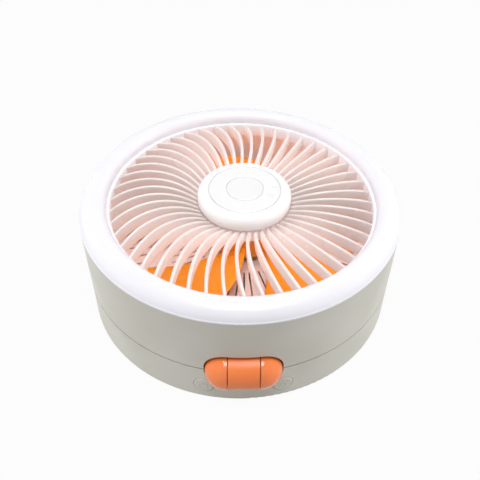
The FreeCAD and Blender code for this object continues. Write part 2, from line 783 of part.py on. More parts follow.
def head_outline():
    """The head's wall and the ring that closes it from below."""
    low = D["seam_height"] + D["seam_gap"] / 2
    top = D["drum_radius"] + D["head_flare"]
    mouth = D["duct_radius"] - 4
    return [
        corner(mouth, low + 0.6),
        corner(mouth + 0.6, low),
        corner(D["drum_radius"] - 0.5, low),
        corner(D["drum_radius"], low + 0.5),
        corner(top, D["head_top"]),
        corner(top - D["wall"], D["head_top"]),
        corner(D["drum_radius"] - D["wall"], low + 2),
        corner(mouth + 2, low + 2),
        corner(mouth + 2, D["rear_grille_height"] - 0.1),
        corner(mouth, D["rear_grille_height"] - 0.1),
    ]


def head_shell():
    """Upper half of the drum: wall, bottom ring, barrel recess and screw bosses."""
    cup = turned("head_cup", head_outline())
    low = D["seam_height"] + D["seam_gap"] / 2
    thick = head_room("head_barrel_wall", D["recess_wall"])
    recess = recess_wall("head_recess_wall", thick, low, D["head_top"] - 5)
    front_boss = cylinder("front_boss", 3.2, plain(D["duct_top"]) - 31, (0, 0, 0))
    front_bosses = copies("front_boss_at", front_boss,
                          round_places(FRONT_SCREWS_AT, FRONT_SCREW_ANGLES, 31))
    pad = cylinder("rear_pad", 4, REAR_PAD - 1, (0, 0, 0))
    pads = copies("rear_pad_at", pad,
                  round_places(REAR_SCREWS_AT, REAR_SCREW_ANGLES, head_foot() + 1))
    arm_posts = [cylinder("arm_post_" + word, 3, 3, (side * 4, -ARM_FRONT, ARM_SCREW_HEIGHT),
                          TO_FRONT) for side, word in ((-1, "left"), (1, "right"))]
    solid = fuse("head_solid", [cup, recess] + front_bosses + arm_posts + pads)
    hollow = head_room("head_barrel_room", 0)
    slot = box("arm_slot", ARM_HALF * 2 + 0.4, ARM_THICK + 0.3, 14,
               (-ARM_HALF - 0.2, -ARM_FRONT, D["seam_height"] + 8))
    pilot = cylinder("front_pilot", D["screw_radius"] + 0.02, 12, (0, 0, 0))
    pilots = copies("front_pilot_at", pilot, round_places(
        FRONT_SCREWS_AT, FRONT_SCREW_ANGLES, plain(D["duct_top"]) - 11))
    rear_hole = cylinder("rear_hole", D["screw_radius"] + 0.15, 8, (0, 0, 0))
    rear_seat = cylinder("rear_seat", D["screw_head"] + 0.3, REAR_SEAT + 1, (0, 0, 0))
    rear_holes = copies("rear_hole_at", rear_hole,
                        round_places(REAR_SCREWS_AT, REAR_SCREW_ANGLES, 27))
    rear_holes += copies("rear_seat_at", rear_seat,
                         round_places(REAR_SCREWS_AT, REAR_SCREW_ANGLES, head_foot() - 1))
    arm_pilots = [cylinder("arm_pilot_" + word, D["screw_radius"] + 0.02, 3.6,
                           (side * 4, -ARM_FRONT + 1, ARM_SCREW_HEIGHT), TO_FRONT)
                  for side, word in ((-1, "left"), (1, "right"))]
    return cut("head_shell", solid, [hollow, slot] + pilots + rear_holes + arm_pilots)


def slot_ring(body, name, inner, outer, width, height):
    """Radial slots cut right through a turned disc, repeated round its axis."""
    sketch = body.newObject("Sketcher::SketchObject", name + "_sketch")
    place_sketch(body, sketch, "XY_Plane")
    outline(sketch, rectangle(inner, outer, -width / 2, width / 2))
    before = body.Shape.Volume
    pocket = body.newObject("PartDesign::Pocket", name)
    pocket.Profile = sketch
    pocket.Type = "ThroughAll"
    pocket.Midplane = True
    pattern = body.newObject("PartDesign::PolarPattern", name + "_round")
    pattern.Originals = [pocket]
    pattern.Axis = (sketch, ["N_Axis"])
    pattern.Angle = 360
    bind(pattern, "Occurrences", D["rear_slot_count"])
    body.Tip = pattern
    DOC.recompute()
    if body.Shape.Volume >= before:
        raise ValueError("the slots of " + name + " cut nothing")


# Two rings of slots in the rear grille, with a plain band between them.
INNER_SLOTS_END = 50
INNER_SLOT_WIDTH = 1.0
OUTER_SLOTS_START = 60
OUTER_SLOTS_END = 76
OUTER_SLOT_WIDTH = 1.4


def rear_grille():
    """Back of the head: slotted disc, duct wall and the cup that carries the motor."""
    low = D["rear_grille_height"]
    top = low + D["rear_grille_thick"]
    cup = D["cup_radius"]
    duct = D["duct_radius"]
    body = turned("rear_grille_body", [
        corner(cup - 2, low - 5.5),
        corner(cup, low - 5.5),
        corner(cup, low),
        corner(duct + D["duct_wall"], low),
        corner(duct + D["duct_wall"], D["duct_top"]),
        corner(duct, D["duct_top"]),
        corner(duct, top),
        corner(3.3, top),
        corner(3.3, top - 1.6),
        corner(cup - 2, top - 1.6),
    ])
    DOC.recompute()
    slot_ring(body, "inner_slots", cup + 3, INNER_SLOTS_END, INNER_SLOT_WIDTH, low)
    slot_ring(body, "outer_slots", OUTER_SLOTS_START, OUTER_SLOTS_END, OUTER_SLOT_WIDTH, low)
    sleeve = tube("bearing_sleeve", 5.4, 3.3, 18, (0, 0, top - 1), UPRIGHT)
    boss = cylinder("rear_boss", 2.9, 12, (0, 0, 0))
    start = head_foot() + REAR_PAD + 0.1
    bosses = copies("rear_boss_at", boss,
                    round_places(REAR_SCREWS_AT, REAR_SCREW_ANGLES, start))
    pilot = cylinder("rear_pilot", D["screw_radius"] + 0.02, 10, (0, 0, 0))
    pilots = copies("rear_pilot_at", pilot,
                    round_places(REAR_SCREWS_AT, REAR_SCREW_ANGLES, start - 1))
    solid = fuse("rear_grille_solid", [body, sleeve] + bosses)
    bay = head_room("rear_grille_bay", D["recess_wall"] + D["clearance"])
    notch = cylinder("lead_notch", 1.25, 12, (LEAD_SIDE, -18, LEAD_HEIGHT), TO_FRONT)
    return cut("rear_grille", solid, pilots + [bay, notch])


def rear_cover():
    """Snap-in disc that closes the motor cup from behind."""
    low = D["rear_grille_height"] - 5.5
    return turned("rear_cover", [
        corner(0, low - 0.8),
        corner(D["cup_radius"] - 3, low - 0.8),
        corner(D["cup_radius"] - 2.1, low),
        corner(D["cup_radius"] - 2.1, low + 1.4),
        corner(0, low + 1.4),
    ])


def dome_outline(inner, outer):
    """Section of the band that all ribs lie in: one arc along the top, one along the foot."""
    top_centre = D["dome_top"] - D["dome_radius"]
    foot_centre = D["dome_top"] - D["rib_depth"] - D["dome_foot_radius"]

    def height(across, centre, radius):
        side = plain(across) - plain(D["dome_peak"])
        return plain(centre) + math.sqrt(plain(radius) ** 2 - side ** 2)

    low_inner = height(inner, foot_centre, D["dome_foot_radius"])
    low_outer = height(outer, foot_centre, D["dome_foot_radius"])
    high_outer = height(outer, top_centre, D["dome_radius"])
    high_inner = height(inner, top_centre, D["dome_radius"])
    return [
        corner(inner, low_inner, keep="across"),
        arc(D["dome_peak"], foot_centre, D["dome_foot_radius"]),
        corner(outer, low_outer, keep="across"),
        corner(outer, high_outer, keep="across"),
        arc(D["dome_peak"], top_centre, D["dome_radius"]),
        corner(inner, high_inner, keep="across"),
    ]


# Angle of the first rib from the front, in degrees.
FIRST_RIB = 0.6


def grille_rib():
    """One rib: a thin curved wall cut to the dome's section, its top edges rounded."""
    inner = D["cap_radius"] - 3.6
    band = turned("dome_band", dome_outline(inner, D["rim_radius"] + 0.4))
    side = D["rib_bend"] + D["rib_shift"]
    centre = (side, -D["rib_reach"], 40)
    wall = tube("rib_wall", D["rib_bend"] + D["rib_width"] / 2,
                D["rib_bend"] - D["rib_width"] / 2, 60, centre)
    reach = box("rib_limits", 40, 70, 60, (-10, -90, 40))
    rough = common("rib_rough", [band, wall, reach])
    DOC.recompute()
    chosen = []
    for number, edge in enumerate(rough.Shape.Edges, start=1):
        middle = edge.CenterOfMass
        long_enough = edge.Length > 30
        if long_enough and middle.z > plain(D["dome_top"]) - 4:
            chosen.append((number, 0.55, 0.55))
    rib = DOC.addObject("Part::Fillet", "rib_model")
    rib.Base = rough
    rib.Edges = chosen
    return rib


def front_grille():
    """Front guard: ribs between a hub disc under the cap and a rim under the light ring."""
    rib = grille_rib()
    ribs = copies("rib_at", rib, around(plain_count("rib_count"), FIRST_RIB))
    hub_low = D["cap_foot"] - 10.3
    hub = turned("grille_hub", [
        corner(5, hub_low + 6),
        corner(D["cap_radius"] - 3.6, hub_low + 6),
        corner(D["cap_radius"] - 3.6, hub_low),
        corner(D["cap_radius"] - 1.6, hub_low),
        corner(D["cap_radius"] - 1.6, D["cap_foot"] - 0.8),
        corner(5, D["cap_foot"] - 0.8),
    ])
    rim_low = D["duct_top"] + 0.1
    bead = D["rim_radius"] + D["rim_width"]
    wide = D["drum_radius"] + D["head_flare"] - D["wall"] - 0.4
    rim = turned("grille_rim", [
        corner(D["rim_radius"], rim_low),
        corner(wide, rim_low),
        corner(wide, rim_low + 1.9),
        corner(bead + 2, rim_low + 1.9),
        corner(bead + 2, D["rim_top"]),
        corner(D["rim_radius"] + 0.4, D["rim_top"]),
        corner(D["rim_radius"], D["rim_top"] - 0.4),
    ])
    solid = fuse("front_grille_solid", ribs + [hub, rim])
    hole = cylinder("front_hole", D["screw_radius"] + 0.15, 10, (0, 0, 0))
    holes = copies("front_hole_at", hole,
                   round_places(FRONT_SCREWS_AT, FRONT_SCREW_ANGLES, 62))
    return cut("front_grille", solid, holes)


def plain_count(alias):
    return int(round(plain(D[alias])))


def front_screws():
    """Screws that hold the front guard to the head."""
    model = screw("front_screw", 9)
    return compound("front_screws", copies("front_screw_at", model, round_places(
        FRONT_SCREWS_AT, FRONT_SCREW_ANGLES, plain(D["duct_top"]) + 2.0, UPSIDE_DOWN)))


def rear_screws():
    """Screws from behind that hold the rear grille to the head."""
    model = screw("rear_screw", 9)
    placed = copies("rear_screw_at", model,
                    round_places(REAR_SCREWS_AT, REAR_SCREW_ANGLES, head_foot() + REAR_SEAT))
    return compound("rear_screws", placed)


def grille_cap():
    """Round cap over the hub of the guard: a shallow cup with a rounded shoulder."""
    round_at = D["cap_radius"] - D["cap_round"]
    skin = D["cap_skin"]
    top = D["cap_top"]
    return turned("grille_cap", [
        corner(D["cap_radius"] - skin, D["cap_foot"]),
        corner(D["cap_radius"] - 0.4, D["cap_foot"]),
        corner(D["cap_radius"], D["cap_foot"] + 0.6),
        corner(D["cap_radius"], top - D["cap_round"]),
        arc(round_at, top - D["cap_round"]),
        corner(round_at, top, keep="across"),
        corner(D["inlay_radius"] + D["groove"] + 0.3, top),
        corner(D["inlay_radius"] + D["groove"], top - 0.3),
        corner(D["inlay_radius"] + D["groove"], top - 1.2),
        corner(0, top - 1.2),
        corner(0, top - 1.2 - skin),
        corner(round_at - 2, top - 1.2 - skin),
        corner(D["cap_radius"] - skin, top - D["cap_round"] - skin),
    ])


def cap_inlay():
    """Plate let into the cap, with a seat for the disc in its middle."""
    low = D["cap_top"] - 1.2
    high = D["cap_top"] + 0.3
    seat = D["badge_radius"] + D["groove"]
    return turned("cap_inlay", [
        corner(0, low),
        corner(D["inlay_radius"], low),
        corner(D["inlay_radius"], high - 0.6),
        corner(D["inlay_radius"] - 0.5, high - 0.2),
        corner(seat + 0.3, high),
        corner(seat, high - 0.3),
        corner(seat, high - 0.9),
        corner(0, high - 0.9),
    ])


def cap_badge():
    """Plain disc in the middle of the inlay."""
    low = D["cap_top"] - 0.6
    high = D["cap_top"] + 0.5
    return turned("cap_badge", [
        corner(0, low),
        corner(D["badge_radius"], low),
        corner(D["badge_radius"], high - 0.5),
        corner(D["badge_radius"] - 0.5, high - 0.1),
        corner(0, high),
    ])


def light_ring():
    """Milky ring that spreads the lamps' light: a hollow arch open underneath."""
    skin = D["ring_skin"]
    mouth = D["rim_radius"] + D["rim_width"]
    crest = mouth + D["ring_inner_bulge"]
    inner_up = D["ring_top"] - D["ring_inner_bulge"]
    outer_up = D["ring_top"] - D["ring_bulge"]
    low = D["head_top"] + 0.1
    bead_top = low + 1.2

    def outside(bulge, height):
        drop = plain(height) - plain(outer_up)
        return plain(crest) + math.sqrt(plain(bulge) ** 2 - drop ** 2)

    foot = outside(D["ring_bulge"], bead_top)
    return turned("light_ring", [
        corner(mouth, D["rim_top"] + 0.1),
        corner(mouth + skin, D["rim_top"] + 0.1),
        corner(mouth + skin, inner_up),
        arc(crest, inner_up),
        corner(crest, D["ring_top"] - skin, keep="across"),
        arc(crest, outer_up),
        corner(outside(D["ring_bulge"] - skin, low), low, keep="up"),
        corner(foot + D["ring_lip"], low),
        corner(foot + D["ring_lip"], bead_top - 0.3),
        corner(foot, bead_top, keep="up"),
        arc(crest, outer_up),
        corner(crest, D["ring_top"], keep="across"),
        arc(crest, inner_up),
        corner(mouth, inner_up, keep="up"),
    ])


def led_board():
    """Ring-shaped board that carries the lamps."""
    return tube("led_board", 90.6, D["rim_radius"] + D["rim_width"] + 2.3, 1.2,
                (0, 0, LED_BOARD_LOW))


def ring_leds():
    """Small square lamps spaced evenly round the board."""
    lamp = box("led_model", 2.8, 3.5, 0.8, (-1.4, -1.75, 0))
    spot = FreeCAD.Vector(0, -LED_AT, LED_BOARD_LOW + 1.2)
    return compound("ring_leds", copies("led_at", lamp, around(LED_COUNT, 4.5, spot)))


def stator_core():
    """Stack of iron plates with nine teeth, pressed on the bearing sleeve."""
    low = D["hub_foot"] + 3
    ring = tube("stator_ring", 8, 5.45, 7, (0, 0, low))
    tooth = box("stator_tooth", 3, 8, 7, (-1.5, -15.4, 0))
    shoe_outside = cylinder("shoe_outside", 16.2, 7, (0, 0, 0))
    shoe_inside = cylinder("shoe_inside", 15, 7, (0, 0, 0))
    shoe_ring = cut("shoe_ring", shoe_outside, [shoe_inside])
    shoe_limits = box("shoe_limits", 8.4, 20, 7, (-4.2, -20, 0))
    shoe = common("stator_shoe", [shoe_ring, shoe_limits])
    arm = fuse("stator_arm", [tooth, shoe])
    arms = copies("stator_arm_at", arm, around(9, 0, FreeCAD.Vector(0, 0, plain(low))))
    return fuse("stator_core", [ring] + arms)


def stator_coils():
    """Nine coils, one round each tooth."""
    outside = box("coil_outside", 4.8, 4.8, 10, (-2.4, -14.4, -1.5))
    inside = box("coil_inside", 3.1, 6, 7.1, (-1.55, -15, -0.05))
    coil = cut("coil_model", outside, [inside])
    low = plain(D["hub_foot"]) + 3
    return compound("stator_coils", copies("coil_at", coil,
                                           around(9, 0, FreeCAD.Vector(0, 0, low))))


def motor_bearings():
    """Two bearings inside the sleeve."""
    start = D["rear_grille_height"] + 0.4
    rings = []
    for number, up in enumerate((0, 15.4), start=1):
        rings.append(tube("bearing_%d" % number, 3.25, D["shaft_radius"] + 0.03, 3,
                          (0, 0, start + up)))
    return compound("motor_bearings", rings)


def motor_board():
    """Drive board under the stator, in the motor cup."""
    return tube("motor_board", 21, 4, 1.2, (0, 0, D["rear_grille_height"] - 2.6))


def motor_shaft():
    """Steel shaft that the hub sits on."""
    return cylinder("motor_shaft", D["shaft_radius"], 26.5,
                    (0, 0, D["rear_grille_height"] + 0.2))


def rotor_can():
    """Steel cup of the rotor, open towards the stator."""
    return turned("rotor_can", [
        corner(D["hub_radius"] - 3, D["hub_foot"] + 0.5),
        corner(D["hub_radius"] - 2, D["hub_foot"] + 0.5),
        corner(D["hub_radius"] - 2, D["hub_top"] - 3),
        corner(D["shaft_radius"] + 0.02, D["hub_top"] - 3),
        corner(D["shaft_radius"] + 0.02, D["hub_top"] - 4),
        corner(D["hub_radius"] - 3, D["hub_top"] - 4),
    ])


def rotor_magnet():
    """Magnet ring inside the rotor."""
    return tube("rotor_magnet", D["hub_radius"] - 3.05, D["hub_radius"] - 4.4, 9,
                (0, 0, D["hub_foot"] + 1.5))


def blade_edge_angles(radius):
    """Angles of the leading and trailing edge from the front, at a radius."""
    hub, tip = plain(D["hub_radius"]), plain(D["tip_radius"])
    reach = max(0.0, (radius - hub) / (tip - hub))
    leading = -38.5 - 32.0 * reach ** 0.8
    trailing = 1.5 - 18.0 * reach ** 1.3
    return leading, trailing


def blade_point(along, over):
    """Point of a blade, along from hub to tip and over from leading to trailing edge."""
    inner = plain(D["hub_radius"]) - 0.8
    rounded = abs(2 * over - 1) ** 5
    outer = plain(D["tip_radius"]) - 4.5 * (1 - over) ** 2 - 4.5 * rounded
    radius = inner + (outer - inner) * along
    leading, trailing = blade_edge_angles(radius)
    degrees = leading + (trailing - leading) * over
    low, high = plain(D["blade_low"]), plain(D["blade_high"])
    rise = (high - low) * (0.35 * over + 0.65 * over ** 2)
    lift = 2.6 * (1 - along) * (1 - over)
    return polar(radius, degrees, low + lift + rise)


def blade():
    """One blade: a cambered patch given a thickness."""
    rows = 9
    columns = 9
    grid = [[blade_point(i / (rows - 1), j / (columns - 1)) for j in range(columns)]
            for i in range(rows)]
    patch = Part.BSplineSurface()
    patch.interpolate(grid)
    solid = patch.toShape().extrude(FreeCAD.Vector(0, 0, plain(D["blade_thick"])))
    if solid.Volume < 0:
        solid.reverse()
    piece = DOC.addObject("Part::Feature", "blade_model")
    piece.Shape = solid
    return piece


def impeller():
    """Hub cup with its blades, one moulding."""
    hub = turned("hub_cup", [
        corner(D["hub_radius"] - 1.8, D["hub_foot"]),
        corner(D["hub_radius"], D["hub_foot"]),
        corner(D["hub_radius"], D["hub_top"] - 2),
        corner(D["hub_radius"] - 2, D["hub_top"]),
        corner(D["shaft_radius"] + 0.02, D["hub_top"]),
        corner(D["shaft_radius"] + 0.02, D["hub_top"] - 2.8),
        corner(D["hub_radius"] - 1.8, D["hub_top"] - 2.8),
    ])
    blades = copies("blade_at", blade(), around(plain_count("blade_count")))
    return fuse("impeller", [hub] + blades)


def shaft_clip():
    """Small nut that keeps the hub on the shaft."""
    return tube("shaft_clip", 3.4, D["shaft_radius"] + 0.02, 1.6, (0, 0, D["hub_top"] + 0.05))


def arm_screws():
    """Two short screws that hold the middle knuckle's plate to the head's wall."""
    model = screw("arm_screw", ARM_THICK + 2.4, 1.4)
    spots = [FreeCAD.Placement(FreeCAD.Vector(side * 4, -ARM_FRONT + ARM_THICK,
                                              ARM_SCREW_HEIGHT), TO_FRONT)
             for side in (-1, 1)]
    return compound("arm_screws", copies("arm_screw_at", model, spots))


def rounded_path(points, bend):
    """Wire of straight runs joined by tangent arcs of one radius."""
    edges = []
    start = points[0]
    for before, here, after in zip(points, points[1:], points[2:]):
        to_before = (before - here).normalize()
        to_after = (after - here).normalize()
        half_turn = to_before.getAngle(to_after) / 2
        back = bend / math.tan(half_turn)
        first = here + to_before * back
        last = here + to_after * back
        towards = (to_before + to_after).normalize()
        middle = here + towards * (bend / math.sin(half_turn) - bend)
        edges.append(Part.LineSegment(start, first).toShape())
        edges.append(Part.Arc(first, middle, last).toShape())
        start = last
    edges.append(Part.LineSegment(start, points[-1]).toShape())
    return Part.Wire(edges)


def lead(name, radius, bend, route):
    """Insulated lead along a route of points."""
    points = [FreeCAD.Vector(*spot) for spot in route]
    path = rounded_path(points, bend)
    start = Part.Circle(points[0], points[1] - points[0], radius).toShape()
    solid = path.makePipeShell([Part.Wire([start])], True, False)
    wanted = math.pi * radius ** 2 * path.Length
    if abs(solid.Volume - wanted) > 0.02 * wanted:
        raise ValueError("the lead " + name + " has the wrong volume")
    piece = DOC.addObject("Part::Feature", name)
    piece.Shape = solid
    return piece


def base_lead():
    """Lead from the power board past the cells to the switch boards."""
    return lead("base_lead", 1.1, 7, [
        (-18.0, 61.0, 11.5),
        (-30.0, 58.0, 11.5),
        (-43.0, 46.0, 9.0),
        (-46.0, 10.0, 8.0),
        (-46.0, -28.0, 8.0),
        (-40.0, -60.0, 8.5),
        (-26.0, -78.0, 11.0),
    ])


def motor_lead():
    """Lead from the motor board along the back of the rear grille to the barrel's wall."""
    return lead("motor_lead", 1.0, 60, [
        (LEAD_SIDE, -18.4, LEAD_HEIGHT),
        (LEAD_SIDE + 0.6, -46.0, LEAD_HEIGHT - 0.5),
        (LEAD_SIDE - 1.0, -79.5, LEAD_HEIGHT + 0.6),
    ])


SUB_PARTS = [
    base_shell(),
    base_deck(),
    base_screws(),
    rubber_feet(),
    battery_cells(),
    battery_holder(),
    nickel_strips(),
    power_board(),
    board_parts(),
    usb_socket(),
    switch_boards(),
    tact_switches(),
    key(-1, "left"),
    key(1, "right"),
    hinge_end(-1, "left"),
    hinge_end(1, "right"),
    hinge_middle(),
    hinge_pin(),
    hinge_washers(),
    hinge_screws(),
    arm_screws(),
    head_shell(),
    rear_grille(),
    rear_cover(),
    rear_screws(),
    front_grille(),
    front_screws(),
    grille_cap(),
    cap_inlay(),
    cap_badge(),
    light_ring(),
    led_board(),
    ring_leds(),
    stator_core(),
    stator_coils(),
    motor_bearings(),
    motor_board(),
    motor_shaft(),
    rotor_can(),
    rotor_magnet(),
    impeller(),
    shaft_clip(),
    base_lead(),
    motor_lead(),
]


def check_and_export():
    """Recompute, stop on anything that failed, then write one file for each sub-part."""
    DOC.recompute()
    failed = [thing.Name for thing in DOC.Objects
              if "Invalid" in thing.State or "Error" in thing.State]
    if failed:
        raise ValueError("failed objects: " + ", ".join(failed))
    for piece in SUB_PARTS:
        if piece.Shape.isNull() or not piece.Shape.isValid():
            raise ValueError("bad shape: " + piece.Label)
    os.makedirs("parts", exist_ok=True)
    for piece in SUB_PARTS:
        piece.Shape.exportStep("parts/" + piece.Label + ".step")
        box_of = piece.Shape.BoundBox
        print("%-18s solids %3d  volume %9.0f  z %6.2f to %6.2f" % (
            piece.Label, len(piece.Shape.Solids), piece.Shape.Volume, box_of.ZMin, box_of.ZMax))


check_and_export()
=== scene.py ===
import math

import bmesh
import bpy
import numpy as np
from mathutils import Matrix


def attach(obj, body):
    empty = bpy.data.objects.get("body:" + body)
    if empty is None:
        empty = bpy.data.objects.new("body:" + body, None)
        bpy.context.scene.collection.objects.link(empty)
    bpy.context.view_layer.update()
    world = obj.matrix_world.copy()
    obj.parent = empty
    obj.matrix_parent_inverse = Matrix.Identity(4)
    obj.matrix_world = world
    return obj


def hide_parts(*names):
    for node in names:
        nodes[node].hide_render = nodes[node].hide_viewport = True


# A folding camping fan: the round head lies closed on its battery base, joined to it by the
# orange barrel at the front. Metres, +Z up, the hinge towards -Y.
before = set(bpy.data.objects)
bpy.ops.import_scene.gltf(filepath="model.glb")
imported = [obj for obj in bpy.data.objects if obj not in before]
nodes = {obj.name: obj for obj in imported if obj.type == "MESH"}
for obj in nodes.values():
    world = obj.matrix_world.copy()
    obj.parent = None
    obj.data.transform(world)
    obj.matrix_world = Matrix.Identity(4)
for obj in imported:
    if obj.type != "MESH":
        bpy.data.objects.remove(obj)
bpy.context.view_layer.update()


# Base shell and deck. The real ones are injection-moulded ABS in a warm grey white, with the
# fine texture that spark erosion leaves in the mould, so they look satin; four zinc-plated
# screws hold the deck from below, and four moulded rubber feet are glued under them.
MM = 0.001
SHELL_ABS = ("#D6D4C9", "#CFCDC1")


def linear(code):
    """sRGB hex to linear light: c / 12.92 up to 0.04045, else ((c + 0.055) / 1.055) to 2.4."""
    channels = [int(code[place:place + 2], 16) / 255 for place in (1, 3, 5)]
    light = [c / 12.92 if c <= 0.04045 else ((c + 0.055) / 1.055) ** 2.4 for c in channels]
    return (*light, 1.0)


def add(tree, kind, sockets=None, **settings):
    """Add one node with its settings; a socket takes a plain value or another node's output."""
    new = tree.nodes.new(kind)
    for name, value in settings.items():
        setattr(new, name, value)
    for name, value in (sockets or {}).items():
        if isinstance(value, bpy.types.NodeSocket):
            tree.links.new(value, new.inputs[name])
        else:
            new.inputs[name].default_value = value
    return new


def moulded(name, colours, roughness, texture_mm=0.9, depth_mm=0.012, patch=0.05,
            ior=1.53, inside=0.0, through=0.0, reach=(4, 3.8, 4.2)):
    """A moulded plastic. Its colour drifts between two shades over some centimetres, handling
    leaves patches that are a little smoother, and the mould's texture is a fine bump.
    inside is the share of light scattered below the surface, as far as reach says in mm for
    red, green and blue; through is the share let through."""
    material = bpy.data.materials.new(name)
    material.use_nodes = True
    tree = material.node_tree
    tree.nodes.clear()
    place = add(tree, "ShaderNodeTexCoord").outputs["Object"]
    drift = add(tree, "ShaderNodeTexNoise",
                {"Vector": place, "Scale": 1 / (45 * MM), "Detail": 1.0})
    share = add(tree, "ShaderNodeMapRange",
                {"Value": drift.outputs["Fac"], "From Min": 0.35, "From Max": 0.65})
    colour = add(tree, "ShaderNodeMix", {"Factor": share.outputs["Result"]}, data_type="RGBA")
    colour.inputs["A"].default_value = linear(colours[0])
    colour.inputs["B"].default_value = linear(colours[1])
    handled = add(tree, "ShaderNodeTexNoise",
                  {"Vector": place, "Scale": 1 / (24 * MM), "Detail": 3.0})
    sheen = add(tree, "ShaderNodeMapRange",
                {"Value": handled.outputs["Fac"], "From Min": 0.35, "From Max": 0.65,
                 "To Min": roughness - patch, "To Max": roughness + patch})
    fine = add(tree, "ShaderNodeTexNoise",
               {"Vector": place, "Scale": 1 / (texture_mm * MM), "Detail": 3.0,
                "Roughness": 0.6})
    bump = add(tree, "ShaderNodeBump",
               {"Height": fine.outputs["Fac"], "Distance": depth_mm * MM})
    shader = add(tree, "ShaderNodeBsdfPrincipled",
                 {"Base Color": colour.outputs["Result"], "Roughness": sheen.outputs["Result"],
                  "IOR": ior, "Normal": bump.outputs["Normal"], "Subsurface Weight": inside,
                  "Subsurface Radius": [far * MM for far in reach], "Subsurface Scale": 1.0})
    finished = shader.outputs[0]
    if through > 0:
        glow = add(tree, "ShaderNodeBsdfTranslucent", {"Color": colour.outputs["Result"]})
        both = add(tree, "ShaderNodeMixShader", {"Fac": through})
        tree.links.new(finished, both.inputs[1])
        tree.links.new(glow.outputs[0], both.inputs[2])
        finished = both.outputs[0]
    add(tree, "ShaderNodeOutputMaterial", {"Surface": finished})
    return material


def metal(name, colours, roughness, metallic=1.0, line_mm=0.4):
    """Drawn, turned or plated metal: fine lines along Z change its colour and its gloss."""
    material = bpy.data.materials.new(name)
    material.use_nodes = True
    tree = material.node_tree
    tree.nodes.clear()
    place = add(tree, "ShaderNodeTexCoord").outputs["Object"]
    drawn = add(tree, "ShaderNodeMapping", {"Vector": place, "Scale": (1.0, 1.0, 0.05)})
    lines = add(tree, "ShaderNodeTexNoise",
                {"Vector": drawn.outputs["Vector"], "Scale": 1 / (line_mm * MM),
                 "Detail": 3.0})
    colour = add(tree, "ShaderNodeMix", {"Factor": lines.outputs["Fac"]}, data_type="RGBA")
    colour.inputs["A"].default_value = linear(colours[0])
    colour.inputs["B"].default_value = linear(colours[1])
    gloss = add(tree, "ShaderNodeMapRange",
                {"Value": lines.outputs["Fac"], "From Min": 0.3, "From Max": 0.7,
                 "To Min": roughness - 0.06, "To Max": roughness + 0.08})
    bump = add(tree, "ShaderNodeBump",
               {"Height": lines.outputs["Fac"], "Distance": 0.004 * MM})
    shader = add(tree, "ShaderNodeBsdfPrincipled",
                 {"Base Color": colour.outputs["Result"], "Metallic": metallic,
                  "Roughness": gloss.outputs["Result"], "Normal": bump.outputs["Normal"]})
    add(tree, "ShaderNodeOutputMaterial", {"Surface": shader.outputs[0]})
    return material


def dress(material, *names):
    """Give one material to whole pieces of the frame."""
    for name in names:
        mesh = nodes[name].data
        mesh.materials.clear()
        mesh.materials.append(material)


# Textured ABS: matt enough to show no reflection, only a soft sheen. Its grain is drawn
# 0.9 mm coarse, where the real one is about 0.3 mm, so that it shows.
shell_abs = moulded("textured_abs", SHELL_ABS, 0.42)
dress(shell_abs, "base_shell", "base_deck")
# Zinc plating: a dull blue-grey shine.
zinc_plate = metal("zinc_plated_steel", ("#A3A7AE", "#8E939B"), 0.35)
dress(zinc_plate, "base_screws")
# Moulded rubber: matt black, a little uneven.
dress(moulded("moulded_rubber", ("#26262A", "#2D2D31"), 0.7, 0.7, 0.03), "rubber_feet")


# Battery and boards. Four cells in blue shrink wrap lie in a moulded tray, joined by welded
# nickel strips; the glass-fibre boards carry black moulded parts and a steel socket.
# Shrink wrap: smooth PVC film with a soft shine.
dress(moulded("pvc_shrink_wrap", ("#3C5F8C", "#375883"), 0.3, 4.0), "battery_cells")
# Plain ABS: pale, matt and unmarked.
dress(moulded("tray_abs", ("#DCDAD4", "#D5D3CC"), 0.5), "battery_holder")
# Rolled nickel: warm grey, with faint lines from the rollers.
dress(metal("nickel_strip", ("#C9C4B8", "#BAB4A7"), 0.3), "nickel_strips")
# Solder-masked glass fibre: green with the weave just felt in its gloss.
masked_board = moulded("glass_fibre_board", ("#1F5A33", "#194D2B"), 0.35, 0.8)
dress(masked_board, "power_board", "switch_boards")
# Moulded epoxy: matt black.
dress(moulded("moulded_epoxy", ("#1B1B1D", "#232325"), 0.45), "board_parts", "tact_switches")
# Drawn steel: bright, with fine lines along the draw.
bright_steel = metal("drawn_steel", ("#B9BBC0", "#A5A8AD"), 0.28)
dress(bright_steel, "usb_socket")
# Insulation: smooth black PVC.
lead_pvc = moulded("pvc_insulation", ("#17171A", "#1E1E21"), 0.4)
dress(lead_pvc, "base_lead")


# Keys. Two round caps of the shell's own ABS stand flush in the front wall and press in on
# a switch; each has one thin raised sign moulded on, a ring with a stroke on the left and a
# lamp with rays on the right.
KEY_TURN = math.radians(13.8)
KEY_FACE = 99.1
KEY_UP = 13.0
SIGN_HALF = 0.32
SIGN_HIGH = 0.22
SIGN_SUNK = 0.05
POWER_RING, LAMP_RING = 2.7, 1.5
RAY_START, RAY_END = 2.4, 3.7


def walk(points, section):
    """A section carried along a path that lies flat: row i, column j is
    point i + across j * (the path's left, in the plane) + high j * (0, 0, 1).
    section holds the pairs (across, high); its first and last rows are closed by caps."""
    ahead = np.gradient(points[:, :2], axis=0)
    ahead /= np.linalg.norm(ahead, axis=1, keepdims=True)
    left = np.stack([-ahead[:, 1], ahead[:, 0], np.zeros(len(points))], axis=1)
    up = np.array([0.0, 0.0, 1.0])
    return (points[:, None, :] + section[None, :, :1] * left[:, None, :]
            + section[None, :, 1:] * up[None, None, :])


